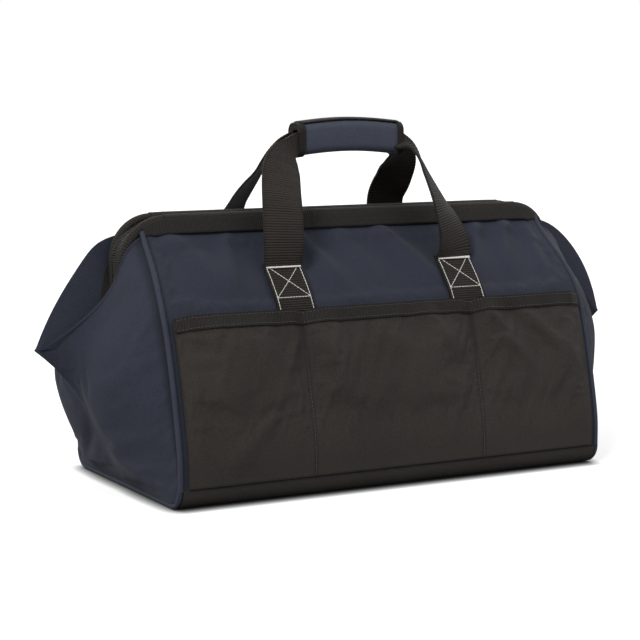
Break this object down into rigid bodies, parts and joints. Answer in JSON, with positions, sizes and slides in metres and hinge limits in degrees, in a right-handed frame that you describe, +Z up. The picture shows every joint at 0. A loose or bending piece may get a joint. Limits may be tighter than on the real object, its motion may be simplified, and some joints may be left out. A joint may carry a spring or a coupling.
{
  "type": "zippered tool bag",
  "caption": "Soft tool bag with a hinged wire frame in its mouth, outward folding end wings, outer pockets, a top zip and webbing handles joined in a wrapped grip.",
  "frame": {"origin": "centre of the base, on the floor", "axes": "+X along the bag's length to the right as seen from the front, +Y from front to back, +Z up"},
  "size_m": [0.6197, 0.2404, 0.3354],
  "materials": {
    "navy_fabric": "matt coated polyester weave",
    "navy_piping": "matt self-fabric piping",
    "navy_grip": "matt padded wrap",
    "black_fabric": "matt coated polyester weave",
    "black_binding": "ribbed binding tape",
    "black_webbing": "ribbed webbing with a slight sheen",
    "zip_coil": "satin nylon coil",
    "fibre_board": "matt stiffener board",
    "zinc_steel": "zinc plated wire and rivets",
    "zinc_casting": "black painted zinc casting"
  },
  "bodies": {
    "root": {"base_board": "fibre_board", "base_panel": "black_fabric", "base_piping_left": "navy_piping", "base_piping_right": "navy_piping"},
    "front_side": {"front_wall": "navy_fabric", "front_pocket_panel": "black_fabric", "front_pocket_band": "black_binding", "front_rail_binding": "black_binding", "front_zip_tape": "black_binding", "front_zip_chain": "zip_coil", "front_piping_left": "navy_piping", "front_piping_right": "navy_piping", "front_gusset_left": "navy_fabric", "front_gusset_right": "navy_fabric", "front_strap_anchor_left": "black_webbing", "front_strap_anchor_right": "black_webbing"},
    "back_side": {"back_wall": "navy_fabric", "back_pocket_panel": "black_fabric", "back_pocket_band": "black_binding", "back_rail_binding": "black_binding", "back_zip_tape": "black_binding", "back_zip_chain": "zip_coil", "back_piping_left": "navy_piping", "back_piping_right": "navy_piping", "back_gusset_left": "navy_fabric", "back_gusset_right": "navy_fabric", "back_strap_anchor_left": "black_webbing", "back_strap_anchor_right": "black_webbing"},
    "front_frame": {"front_frame_rod": "zinc_steel", "front_leg_binding_left": "black_binding", "front_leg_binding_right": "black_binding", "front_end_zip_left": "zip_coil", "front_end_zip_right": "zip_coil", "pivot_rivet_left": "zinc_steel", "pivot_rivet_right": "zinc_steel"},
    "back_frame": {"back_frame_rod": "zinc_steel", "back_leg_binding_left": "black_binding", "back_leg_binding_right": "black_binding", "back_end_zip_left": "zip_coil", "back_end_zip_right": "zip_coil"},
    "front_handle": {"front_handle_strap": "black_webbing", "front_grip_pad": "navy_grip", "front_grip_tape": "black_binding"},
    "back_handle": {"back_handle_strap": "black_webbing", "back_grip_pad": "navy_grip", "back_grip_tape": "black_binding"},
    "zip_slider": {"zip_slider": "zinc_casting"},
    "zip_pull": {"zip_pull_tab": "zinc_casting"}
  },
  "joints": [
    {"name": "front_side_swing", "type": "hinge", "parent": "root", "child": "front_side", "pos_m": [0, -0.118, 0.0182], "axis": [1, 0, 0], "range_deg": [0, 14]},
    {"name": "back_side_swing", "type": "hinge", "parent": "root", "child": "back_side", "pos_m": [0, 0.118, 0.0182], "axis": [1, 0, 0], "range_deg": [-14, 0]},
    {"name": "front_frame_turn", "type": "hinge", "parent": "front_side", "child": "front_frame", "pos_m": [0, -0.015, 0.2455], "axis": [1, 0, 0], "range_deg": [0, 18]},
    {"name": "back_frame_turn", "type": "hinge", "parent": "back_side", "child": "back_frame", "pos_m": [0, 0.015, 0.2455], "axis": [1, 0, 0], "range_deg": [-18, 0]},
    {"name": "front_handle_swing", "type": "hinge", "parent": "front_side", "child": "front_handle", "pos_m": [0, -0.0567, 0.2062], "axis": [1, 0, 0], "range_deg": [0, 140]},
    {"name": "back_handle_swing", "type": "hinge", "parent": "back_side", "child": "back_handle", "pos_m": [0, 0.0567, 0.2062], "axis": [1, 0, 0], "range_deg": [-140, 0]},
    {"name": "zip_slide", "type": "slide", "parent": "front_side", "child": "zip_slider", "axis": [1, 0, 0], "range_m": [-0.352, 0]},
    {"name": "zip_pull_flip", "type": "hinge", "parent": "zip_slider", "child": "zip_pull", "pos_m": [0.176, 0, 0.2425], "axis": [0, 1, 0], "range_deg": [0, 150]}
  ],
  "couplings": [
    {"joint": "back_side_swing", "follows": "front_side_swing", "ratio": -1},
    {"joint": "front_frame_turn", "follows": "front_side_swing", "ratio": 1.27},
    {"joint": "back_frame_turn", "follows": "front_side_swing", "ratio": -1.27}
  ]
}
